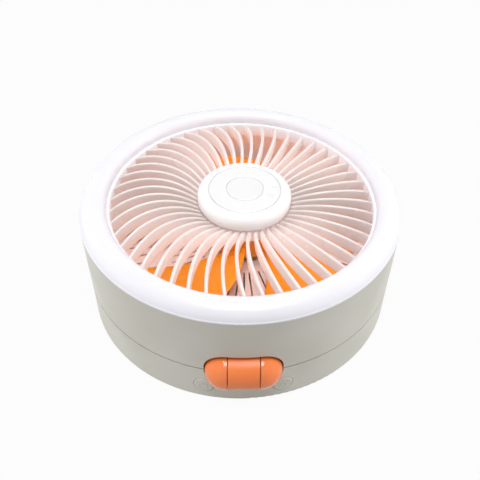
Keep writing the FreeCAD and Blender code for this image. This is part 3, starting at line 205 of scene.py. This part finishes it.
def skin(grids, closed):
    """Points and faces of grids whose columns close on themselves. closed says whether the
    rows close as well, as round a ring; otherwise the first and last row are capped."""
    spots, faces, start = [], [], 0
    for grid in grids:
        rows, columns = grid.shape[:2]
        here = start + np.arange(rows * columns).reshape(rows, columns)
        right = np.roll(here, -1, axis=1)
        last = rows if closed else rows - 1
        quads = np.stack([here, right, np.roll(right, -1, axis=0),
                          np.roll(here, -1, axis=0)], axis=-1)[:last]
        faces += quads.reshape(-1, 4).tolist()
        if not closed:
            faces += [here[0][::-1].tolist(), here[-1].tolist()]
        spots.append(grid.reshape(-1, 3) * MM)
        start += rows * columns
    return np.concatenate(spots), faces


def shape(name, material, *skins):
    """One object from skins in millimetres, faces outwards, smooth but for its corners."""
    spots, faces, start = [], [], 0
    for points, sides in skins:
        spots.append(points)
        faces += [[start + corner for corner in side] for side in sides]
        start += len(points)
    mesh = bpy.data.meshes.new(name)
    mesh.from_pydata(np.concatenate(spots).tolist(), [], faces)
    shell = bmesh.new()
    shell.from_mesh(mesh)
    bmesh.ops.recalc_face_normals(shell, faces=shell.faces)
    shell.to_mesh(mesh)
    shell.free()
    mesh.shade_smooth()
    mesh.set_sharp_from_angle(angle=math.radians(38))
    mesh.materials.append(material)
    made = bpy.data.objects.new(name, mesh)
    bpy.context.scene.collection.objects.link(made)
    return made


def stroke(across, up):
    """A raised stroke on a key, laid flat first: half an ellipse, (SIGN_HALF cos t,
    SIGN_HIGH sin t), carried along the line of points across and up."""
    turn = np.linspace(0, np.pi, 9)
    section = np.stack([SIGN_HALF * np.cos(turn), SIGN_HIGH * np.sin(turn)], axis=1)
    points = np.stack([across, up, np.zeros(len(across))], axis=1)
    return walk(points, section)


def on_key(grid, side):
    """Stand a flat sign up on a key's face: (x, y, z) goes to x along the wall, z out of it
    and y up, all turned about the drum's axis to the key."""
    turn = KEY_TURN * side
    out = KEY_FACE - SIGN_SUNK + grid[..., 2]
    along = grid[..., 0]
    return np.stack([along * math.cos(turn) + out * math.sin(turn),
                     along * math.sin(turn) - out * math.cos(turn),
                     KEY_UP + grid[..., 1]], axis=-1)


dress(shell_abs, "key_left", "key_right")
# Smooth ABS, a little darker than the key, so that the signs only just show.
sign_abs = moulded("sign_abs", ("#BFBDB0", "#B9B7AA"), 0.35)
round_turn = np.radians(np.linspace(125, 415, 33))
power_sign = [
    stroke(POWER_RING * np.cos(round_turn), POWER_RING * np.sin(round_turn) - 0.2),
    stroke(np.zeros(5), np.linspace(0.6, 3.3, 5)),
]
key_sign_left = shape("key_sign_left", sign_abs,
                      skin([on_key(grid, -1) for grid in power_sign], False))
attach(key_sign_left, "key_left")
whole_turn = np.radians(np.linspace(0, 360, 29))
lamp_sign = [stroke(LAMP_RING * np.cos(whole_turn), LAMP_RING * np.sin(whole_turn))]
ray_line = np.linspace(RAY_START, RAY_END, 5)
lamp_sign += [stroke(ray_line * math.cos(ray), ray_line * math.sin(ray))
              for ray in np.radians(np.arange(0, 360, 45))]
key_sign_right = shape("key_sign_right", sign_abs,
                       skin([on_key(grid, 1) for grid in lamp_sign], False))
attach(key_sign_right, "key_right")


# Hinge. Three knuckles of glossy orange ABS turn on a steel pin, clamped by thin washers;
# the outer two are screwed down in the base and the middle one to the head.
HINGE_ORANGE = ("#FA8B47", "#F78540")
ORANGE_REACH = (2.4, 0.6, 0.25)
# Polished ABS: a deep orange with crisp highlights, into which red light goes furthest; the
# middle knuckle, which is handled when the head folds, has gone a little dull.
dress(moulded("polished_orange_abs", HINGE_ORANGE, 0.12, 3.0, 0.004, 0.03,
              inside=0.5, reach=ORANGE_REACH), "hinge_left", "hinge_right")
dress(moulded("handled_orange_abs", HINGE_ORANGE, 0.42, 3.0, 0.006, 0.05,
              inside=0.5, reach=ORANGE_REACH), "hinge_middle")
dress(bright_steel, "hinge_pin")
# Nylon washers coloured red: painted shade, standing in for the red-tinted shade in the gaps,
# so that they show as dark red lines between the knuckles.
dress(moulded("red_nylon_painted_gap_shade", ("#E0421E", "#D63C19"), 0.5), "hinge_washers")
dress(zinc_plate, "hinge_screws", "arm_screws")


# Head shell. The upper half of the drum, one deep moulding in the base's textured ABS. It
# rests on the base along a thin joint, and the middle knuckle is screwed to it.
dress(shell_abs, "head_shell")


# Rear grille and motor. The slotted back, the duct and the motor cup are one white moulding,
# with the orange blades' reflected light painted into its colour as pink; the motor in it is
# copper, iron plates and ferrite.
# Semi-matt white ABS, its colour tinted pink: a painted reflection of the orange blades round
# it.
rear_abs_painted_pink = moulded("white_abs_painted_pink", ("#FCE6E0", "#FAE0D8"), 0.4, through=0.1)
dress(rear_abs_painted_pink, "rear_grille", "rear_cover")
dress(zinc_plate, "rear_screws", "front_screws")
dress(bright_steel, "motor_bearings", "motor_shaft", "rotor_can", "shaft_clip")
# Punched iron plates: dull grey, stacked so that their edges show as fine lines.
dress(metal("stator_iron", ("#7C7F85", "#63666B"), 0.5, line_mm=0.35), "stator_core")
# Bonded ferrite: pressed powder, nearly black.
dress(metal("bonded_ferrite", ("#34353A", "#2A2B2F"), 0.6, 0.3), "rotor_magnet")
# Enamelled wire: reddish and shiny, its turns lying side by side as fine lines.
dress(metal("enamelled_copper", ("#C4713A", "#A8592B"), 0.35, line_mm=0.5), "stator_coils")
dress(masked_board, "motor_board")
dress(lead_pvc, "motor_lead")


# Impeller. Hub and five blades are one moulding of tinted polycarbonate: glossy, rounded at
# every edge, and thin enough at the blades for light to come through.
HUB_RADIUS, HUB_FOOT, HUB_TOP = 21.2, 44.0, 62.0
TIP_RADIUS, BLADE_COUNT = 79.0, 5
BLADE_LOW, BLADE_HIGH, BLADE_THICK = 41.5, 53.5, 1.8
BLADE_SUNK, ROOT_LIFT, TIP_ROUNDING = 0.8, 2.6, 4.5
LEADING_ROOT, LEADING_SWEEP = -38.5, 32
TRAILING_ROOT, TRAILING_SWEEP = 1.5, 18
HUB_WALL, HUB_ROUNDING, SHAFT_HOLE, HUB_LID = 1.8, 2, 1.52, 2.8


def blade(first):
    """One blade. Along (0 at the hub, 1 at the tip) and over (0 at the leading edge, 1 at the
    trailing one) give radius = inner + (outer - inner) * along and angle = leading +
    (trailing - leading) * over; the height rises with over, and the two faces stand apart by
    the thickness times the root of 1 - (2 over - 1)^6, so that both edges are rounded."""
    loop = np.linspace(0, 2 * np.pi, 60, endpoint=False)
    along = np.linspace(0, 1, 40)[:, None] ** 0.9
    over = (0.5 - 0.5 * np.cos(loop))[None, :]
    rounded = np.abs(2 * over - 1) ** 5
    outer = TIP_RADIUS - TIP_ROUNDING * (1 - over) ** 2 - TIP_ROUNDING * rounded
    radius = (HUB_RADIUS - BLADE_SUNK) * (1 - along) + outer * along
    reach = np.clip((radius - HUB_RADIUS) / (TIP_RADIUS - HUB_RADIUS), 0, 1)
    leading = LEADING_ROOT - LEADING_SWEEP * reach ** 0.8
    trailing = TRAILING_ROOT - TRAILING_SWEEP * reach ** 1.3
    angle = np.radians(first + leading + (trailing - leading) * over)
    rise = (BLADE_HIGH - BLADE_LOW) * (0.35 * over + 0.65 * over ** 2)
    middle = BLADE_LOW + ROOT_LIFT * (1 - along) * (1 - over) + rise + BLADE_THICK / 2
    thin = np.sqrt(np.clip(1 - np.abs(2 * over - 1) ** 6, 0, 1)) * np.sqrt(1 - along ** 24)
    height = middle + np.sign(np.sin(loop))[None, :] * thin * BLADE_THICK / 2
    return np.stack([radius * np.sin(angle), -radius * np.cos(angle), height], axis=-1)


def turned(profile, steps):
    """A profile of pairs (radius, height) turned round Z: (r sin t, -r cos t, z)."""
    turn = np.linspace(0, 2 * np.pi, steps, endpoint=False)[:, None]
    radius, height = profile[None, :, 0], profile[None, :, 1]
    return np.stack([radius * np.sin(turn), -radius * np.cos(turn),
                     height + 0 * turn], axis=-1)


hub_shoulder = np.radians(np.linspace(0, 90, 7))
hub_profile = np.concatenate([
    [[HUB_RADIUS - HUB_WALL, HUB_FOOT], [HUB_RADIUS, HUB_FOOT]],
    np.stack([HUB_RADIUS - HUB_ROUNDING + HUB_ROUNDING * np.cos(hub_shoulder),
              HUB_TOP - HUB_ROUNDING + HUB_ROUNDING * np.sin(hub_shoulder)], axis=1),
    [[SHAFT_HOLE, HUB_TOP], [SHAFT_HOLE, HUB_TOP - HUB_LID],
     [HUB_RADIUS - HUB_WALL, HUB_TOP - HUB_LID]],
])
# Polycarbonate: glossy, and thin enough in the blades to pass some light on; the flow in the
# mould leaves its gloss a little uneven.
tinted_pc = moulded("tinted_polycarbonate", ("#FC9E2A", "#FB9824"), 0.24, 18.0, 0.02, 0.04,
                    1.585, through=0.1)
fan_wheel = shape(
    "fan_wheel", tinted_pc,
    skin([blade(72 * number) for number in range(BLADE_COUNT)], False),
    skin([turned(hub_profile, 96)], True))
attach(fan_wheel, "impeller")
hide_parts("impeller")


# Front guard. One moulding of glossy white ABS: a hub disc under the cap, 48 ribs that bend
# one way and arch up, each rounded along its top, and a rim under the light ring.
RIB_COUNT, FIRST_RIB = 48, 0.6
RIB_BEND, RIB_REACH, RIB_SHIFT = 84.0, 43.6, 1.24
RIB_TOP_WIDTH, RIB_FOOT_WIDTH = 1.95, 1.6
DOME_PEAK, DOME_TOP, DOME_RADIUS, DOME_FOOT_RADIUS, RIB_DEPTH = 56.0, 81.5, 53.0, 62.0, 9.0
CAP_RADIUS, CAP_FOOT, RIM_RADIUS = 29.2, 75.3, 82.0
HUB_EDGE, HUB_HOLE, HUB_DEEP, HUB_STEP = 3.6, 5, 10.3, 6


def rib(turn):
    """One rib. Seen from above it runs on a circle of radius RIB_BEND about (RIB_BEND +
    RIB_SHIFT, -RIB_REACH), from the hub to the rim. Its top is an arc of radius DOME_RADIUS
    over r = DOME_PEAK and its foot one of DOME_FOOT_RADIUS, so height = base + root(radius^2 -
    (r - peak)^2); the section is a narrow oblong with a round top."""
    sweep = np.radians(np.linspace(-30, 24, 400))
    x = RIB_BEND + RIB_SHIFT - RIB_BEND * np.cos(sweep)
    y = -RIB_REACH + RIB_BEND * np.sin(sweep)
    away = np.hypot(x, y)
    outwards = np.argsort(away)
    radius = np.linspace(CAP_RADIUS - HUB_EDGE, RIM_RADIUS + 0.4, 30)
    at = np.interp(radius, away[outwards], sweep[outwards])
    path = np.stack([RIB_BEND + RIB_SHIFT - RIB_BEND * np.cos(at),
                     -RIB_REACH + RIB_BEND * np.sin(at), np.zeros(len(at))], axis=1)
    top = DOME_TOP - DOME_RADIUS + np.sqrt(DOME_RADIUS ** 2 - (radius - DOME_PEAK) ** 2)
    foot = (DOME_TOP - RIB_DEPTH - DOME_FOOT_RADIUS
            + np.sqrt(DOME_FOOT_RADIUS ** 2 - (radius - DOME_PEAK) ** 2))
    bend = np.linspace(0, np.pi, 9)
    crown = np.stack([RIB_TOP_WIDTH / 2 * np.cos(bend),
                      RIB_TOP_WIDTH / 2 * (np.sin(bend) - 1)], axis=1)
    edge = np.array([[-RIB_FOOT_WIDTH / 2, 0.3], [-RIB_FOOT_WIDTH / 2 + 0.3, 0.0],
                     [RIB_FOOT_WIDTH / 2 - 0.3, 0.0], [RIB_FOOT_WIDTH / 2, 0.3]])
    grid = walk(path, np.concatenate([crown, edge]))
    grid[:, :len(crown), 2] += top[:, None]
    grid[:, len(crown):, 2] += foot[:, None]
    spin = math.radians(turn)
    return np.stack([grid[..., 0] * math.cos(spin) - grid[..., 1] * math.sin(spin),
                     grid[..., 0] * math.sin(spin) + grid[..., 1] * math.cos(spin),
                     grid[..., 2]], axis=-1)


HUB_LOW = CAP_FOOT - HUB_DEEP
guard_hub = np.array([
    [HUB_HOLE, HUB_LOW + HUB_STEP], [CAP_RADIUS - HUB_EDGE, HUB_LOW + HUB_STEP],
    [CAP_RADIUS - HUB_EDGE, HUB_LOW], [CAP_RADIUS - 1.6, HUB_LOW],
    [CAP_RADIUS - 1.6, CAP_FOOT - 0.8], [HUB_HOLE, CAP_FOOT - 0.8],
])
RIM_LOW, RIM_TOP, RIM_OUTER, RIM_FLANGE, BEAD_OUTER = 65.9, 74.7, 97.1, 1.9, 86.0
guard_rim = np.array([
    [RIM_RADIUS, RIM_LOW], [RIM_OUTER, RIM_LOW], [RIM_OUTER, RIM_LOW + RIM_FLANGE],
    [BEAD_OUTER, RIM_LOW + RIM_FLANGE], [BEAD_OUTER, RIM_TOP],
    [RIM_RADIUS + 0.6, RIM_TOP], [RIM_RADIUS + 0.2, RIM_TOP - 0.15],
    [RIM_RADIUS, RIM_TOP - 0.5],
])
RIM_STEPS = 180
# Glossy white ABS, its whole colour tinted pink and a little greyed: a painted reflection of
# the blades below and painted shade between the ribs.
gloss_abs_painted_tint = moulded("gloss_white_abs_painted_tint", ("#F1E6E3", "#EFE3E0"), 0.26, 2.5, 0.006)
front_guard = shape(
    "front_guard", gloss_abs_painted_tint,
    skin([rib(FIRST_RIB + 360 / RIB_COUNT * number) for number in range(RIB_COUNT)], False),
    skin([turned(guard_hub, 96)], True),
    skin([turned(guard_rim, RIM_STEPS)], True))
# Polished ABS: the rim that meets the light ring is as white as the ring is.
front_guard.data.materials.append(moulded("clean_white_abs", ("#F6F5FA", "#F4F3F8"), 0.26))
for rim_face in front_guard.data.polygons[-RIM_STEPS * len(guard_rim):]:
    rim_face.material_index = 1
# The guard is set to cast no shadow. Thin white ribs pass light on, which this shader doesn't
# do, and with their full shadow the blades and the back came out far too dark.
front_guard.visible_shadow = False
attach(front_guard, "head")
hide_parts("front_grille")


# Cap. A shallow ABS cup, a plate let into it and a plain disc in the middle, pressed
# together and clipped over the guard's hub; thin grooves show round the plate and the disc.
CAP_TOP, CAP_ROUND, CAP_SKIN = 84.3, 5.2, 1.8
INLAY_RADIUS, INLAY_TOP, BADGE_RADIUS, BADGE_TOP, GROOVE = 22.1, 84.6, 11.3, 84.8, 0.35
SEAT_DEPTH, CHAMFER, BADGE_SEAT, FLAT = 1.2, 0.3, 0.9, 2


def disc(name, profile, node):
    """A profile turned round Z whose two ends are closed by flat discs: row i is the circle
    of profile point i, from the middle of the top out and back to the middle below."""
    made = shape(name, cap_abs, skin([turned(profile, 160).transpose(1, 0, 2)], False))
    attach(made, "head")
    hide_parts(node)


# Satin ABS: white and smooth to the touch, with no more than a soft shine.
cap_abs = moulded("satin_cap_abs", ("#FBFAFB", "#F9F8F9"), 0.3, 1.2, 0.006, inside=0.3)
shoulder = np.radians(np.linspace(90, 0, 17))
disc("cap_cup", np.concatenate([
    [[FLAT, CAP_TOP - SEAT_DEPTH], [INLAY_RADIUS + GROOVE, CAP_TOP - SEAT_DEPTH],
     [INLAY_RADIUS + GROOVE, CAP_TOP - CHAMFER],
     [INLAY_RADIUS + GROOVE + CHAMFER, CAP_TOP]],
    np.stack([CAP_RADIUS - CAP_ROUND + CAP_ROUND * np.cos(shoulder),
              CAP_TOP - CAP_ROUND + CAP_ROUND * np.sin(shoulder)], axis=1),
    [[CAP_RADIUS, CAP_FOOT + 0.6], [CAP_RADIUS - 0.4, CAP_FOOT],
     [CAP_RADIUS - CAP_SKIN, CAP_FOOT],
     [CAP_RADIUS - CAP_SKIN, CAP_TOP - CAP_ROUND - CAP_SKIN],
     [CAP_RADIUS - CAP_ROUND - 2, CAP_TOP - SEAT_DEPTH - CAP_SKIN],
     [FLAT, CAP_TOP - SEAT_DEPTH - CAP_SKIN]],
]), "grille_cap")
SEAT = BADGE_RADIUS + GROOVE
disc("cap_plate", np.array([
    [FLAT, INLAY_TOP - BADGE_SEAT], [SEAT, INLAY_TOP - BADGE_SEAT],
    [SEAT, INLAY_TOP - CHAMFER], [SEAT + CHAMFER, INLAY_TOP],
    [INLAY_RADIUS - 0.8, INLAY_TOP - 0.19], [INLAY_RADIUS - 0.5, INLAY_TOP - 0.2],
    [INLAY_RADIUS, INLAY_TOP - 0.6], [INLAY_RADIUS, CAP_TOP - SEAT_DEPTH],
    [FLAT, CAP_TOP - SEAT_DEPTH],
]), "cap_inlay")
disc("cap_disc", np.array([
    [FLAT, BADGE_TOP - 0.01], [BADGE_RADIUS - 0.8, BADGE_TOP - 0.09],
    [BADGE_RADIUS - 0.5, BADGE_TOP - 0.1], [BADGE_RADIUS, BADGE_TOP - 0.5],
    [BADGE_RADIUS, CAP_TOP - 0.6], [FLAT, CAP_TOP - 0.6],
]), "cap_badge")


# Light ring. A hollow arch of opal polycarbonate, clipped round the guard over a white
# lacquered board with 40 lamps; it is milky enough to hide them.
RING_CREST, RING_TOP, RING_OUTER, RING_INNER, RING_SKIN = 89.0, 81.8, 11.0, 5.0, 2.0
RING_MOUTH, RING_LOW, RING_EDGE = 84.0, 73.1, 99.89


def ring_arc(bulge, height, start, stop, steps):
    """Part of a circle of radius bulge about (89, height), in degrees from outwards."""
    turn = np.radians(np.linspace(start, stop, steps))
    return np.stack([RING_CREST + bulge * np.cos(turn), height + bulge * np.sin(turn)], axis=1)


outer_up, inner_up = RING_TOP - RING_OUTER, RING_TOP - RING_INNER
ring_profile = np.concatenate([
    [[RING_EDGE, RING_LOW], [RING_EDGE, RING_LOW + 0.9],
     [RING_EDGE - 0.43, RING_LOW + 1.25]],
    ring_arc(RING_OUTER, outer_up, 19, 90, 24)[1:],
    ring_arc(RING_INNER, inner_up, 90, 180, 14)[1:],
    [[RING_MOUTH, 75.0], [RING_MOUTH + 0.2, 74.8], [RING_MOUTH + RING_SKIN, 74.8]],
    ring_arc(RING_INNER - RING_SKIN, inner_up, 180, 90, 10),
    ring_arc(RING_OUTER - RING_SKIN, outer_up, 90, 15, 16)[1:],
])
# Opal polycarbonate: light enters it a little way, so it has no hard shadow of its own.
opal_pc = moulded("opal_polycarbonate", ("#F6F5FE", "#F4F3FC"), 0.2, 9.0, 0.01, 0.03, 1.585,
                  inside=0.25)
ring_skin = shape("light_ring_skin", opal_pc, skin([turned(ring_profile, 240)], True))
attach(ring_skin, "head")
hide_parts("light_ring")
# White solder mask: a smooth hard lacquer.
dress(moulded("white_solder_mask", ("#E9E9E4", "#E2E2DC"), 0.35), "led_board")
# Lamp resin: silicone with phosphor in it, a soft yellow.
dress(moulded("phosphor_resin", ("#F1DC7A", "#E7CF66"), 0.2, 1.0), "ring_leds")


# The studio. A sheet of paper under the fan, which the camera and reflections see white, a
# broad soft light overhead and two weaker ones at the sides.
FLOOR_HALF = 3.0
DRUM_MIDDLE = (0, 0, 0.05)
# Matt paper: its fibres are drawn 2 mm coarse, where real ones are finer, so that they show.
floor_paper = bpy.data.materials.new("white_paper")
floor_paper.use_nodes = True
tree = floor_paper.node_tree
tree.nodes.clear()
place = add(tree, "ShaderNodeTexCoord").outputs["Object"]
fibre = add(tree, "ShaderNodeTexNoise", {"Vector": place, "Scale": 1 / (2 * MM)})
tone = add(tree, "ShaderNodeMix", {"Factor": fibre.outputs["Fac"]}, data_type="RGBA")
tone.inputs["A"].default_value = linear("#C6C6C6")
tone.inputs["B"].default_value = linear("#C1C1C1")
paper = add(tree, "ShaderNodeBsdfDiffuse", {"Color": tone.outputs["Result"]})
bright = add(tree, "ShaderNodeEmission", {"Color": (1, 1, 1, 1), "Strength": 1.0})
rays = add(tree, "ShaderNodeLightPath")
seen = add(tree, "ShaderNodeMath", {0: rays.outputs["Is Camera Ray"],
                                    1: rays.outputs["Is Glossy Ray"]}, operation="MAXIMUM")
share = add(tree, "ShaderNodeMath", {0: seen.outputs[0], 1: 0.95}, operation="MULTIPLY")
both = add(tree, "ShaderNodeMixShader", {"Fac": share.outputs[0]})
tree.links.new(paper.outputs[0], both.inputs[1])
tree.links.new(bright.outputs[0], both.inputs[2])
add(tree, "ShaderNodeOutputMaterial", {"Surface": both.outputs[0]})
floor_mesh = bpy.data.meshes.new("studio_floor")
floor_mesh.from_pydata(
    [(x * FLOOR_HALF, y * FLOOR_HALF, 0) for x, y in ((-1, -1), (1, -1), (1, 1), (-1, 1))],
    [], [(0, 1, 2, 3)])
floor_mesh.materials.append(floor_paper)
floor = bpy.data.objects.new("studio_floor", floor_mesh)
bpy.context.scene.collection.objects.link(floor)


def softbox(name, place, aim, size, watts, glossy=True):
    """A soft light at a place, turned to face a point. glossy says whether it reflects."""
    light = bpy.data.lights.new(name, "AREA")
    light.shape = "RECTANGLE"
    light.size, light.size_y = size
    light.energy = watts
    lamp = bpy.data.objects.new(name, light)
    bpy.context.scene.collection.objects.link(lamp)
    away = np.array(place, float) - np.array(aim, float)
    flat = math.hypot(away[0], away[1])
    lamp.visible_glossy = glossy
    lamp.location = place
    lamp.rotation_euler = (math.atan2(flat, away[2]), 0, math.atan2(away[0], -away[1]))
    return lamp


softbox("overhead", (0.0, -0.3, 1.3), DRUM_MIDDLE, (0.6, 0.6), 9.2)
softbox("left_side", (-1.1, 0.0, 0.45), DRUM_MIDDLE, (0.7, 0.7), 6.0, False)
softbox("right_side", (1.1, 0.0, 0.45), DRUM_MIDDLE, (0.7, 0.7), 6.6, False)

world = bpy.data.worlds.new("studio")
world.use_nodes = True
sky = world.node_tree
sky.nodes.clear()
rays = add(sky, "ShaderNodeLightPath")
seen = add(sky, "ShaderNodeMath", {0: rays.outputs["Is Camera Ray"],
                                   1: rays.outputs["Is Glossy Ray"]}, operation="MAXIMUM")
fill = add(sky, "ShaderNodeBackground", {"Color": (1, 1, 1, 1), "Strength": 0.3})
white = add(sky, "ShaderNodeBackground", {"Color": (1, 1, 1, 1), "Strength": 1.0})
chosen = add(sky, "ShaderNodeMixShader", {"Fac": seen.outputs[0]})
sky.links.new(fill.outputs[0], chosen.inputs[1])
sky.links.new(white.outputs[0], chosen.inputs[2])
add(sky, "ShaderNodeOutputWorld", {"Surface": chosen.outputs[0]})
bpy.context.scene.world = world


# The camera. It stands above and in front, close enough for strong perspective.
camera_data = bpy.data.cameras.new("camera")
camera_data.lens = 52.74
camera_data.sensor_width = 36
camera_data.shift_x = -0.198
camera = bpy.data.objects.new("camera", camera_data)
bpy.context.scene.collection.objects.link(camera)
camera.location = (-0.00266, -0.33899, 0.3693)
camera.rotation_euler = [math.radians(turn) for turn in (46.08, -5.66, -5.22)]
bpy.context.scene.camera = camera
bpy.context.scene.view_settings.view_transform = "Standard"
